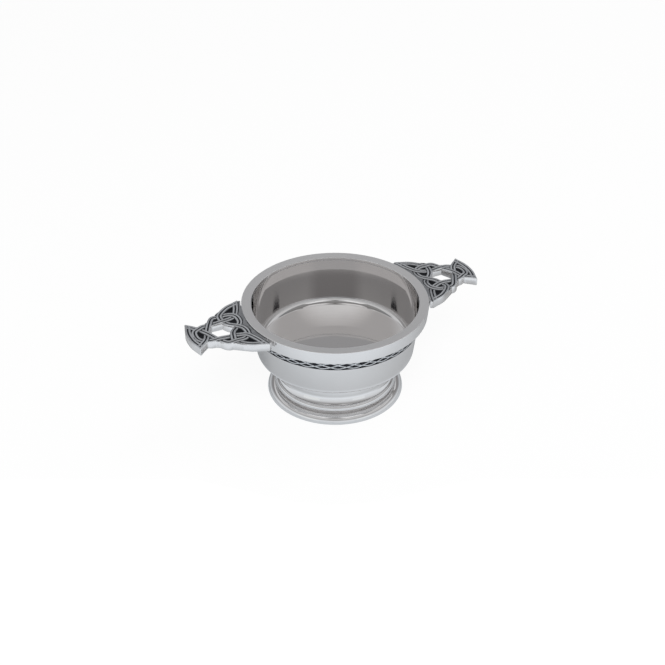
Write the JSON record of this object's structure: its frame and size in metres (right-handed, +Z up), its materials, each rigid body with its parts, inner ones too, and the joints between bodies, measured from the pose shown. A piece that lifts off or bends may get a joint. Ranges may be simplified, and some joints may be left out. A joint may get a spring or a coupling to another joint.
{
  "type": "quaich",
  "caption": "Shallow two-handled drinking cup of polished pewter on a waisted foot, with flat interlaced handles level with a broad lip and a knotwork band under it.",
  "frame": {"origin": "centre of the resting face, on the cup's axis", "axes": "+Z up along the axis of the bowl and foot, +X along the handles, towards the right handle in the picture"},
  "size_m": [0.1474, 0.089, 0.0494],
  "materials": {
    "polished_pewter": "bright mirror polish",
    "antiqued_pewter": "polished strands, blackened recesses",
    "solder": "bright, as flowed"
  },
  "bodies": {
    "root": {"bowl": "polished_pewter", "rim_collar": "polished_pewter", "knot_band": "antiqued_pewter", "foot": "polished_pewter", "base_ring": "polished_pewter", "left_handle": "antiqued_pewter", "right_handle": "antiqued_pewter", "collar_solder": "solder", "band_solder": "solder", "foot_solder": "solder", "ring_solder": "solder", "left_handle_solder": "solder", "right_handle_solder": "solder"}
  },
  "joints": []
}
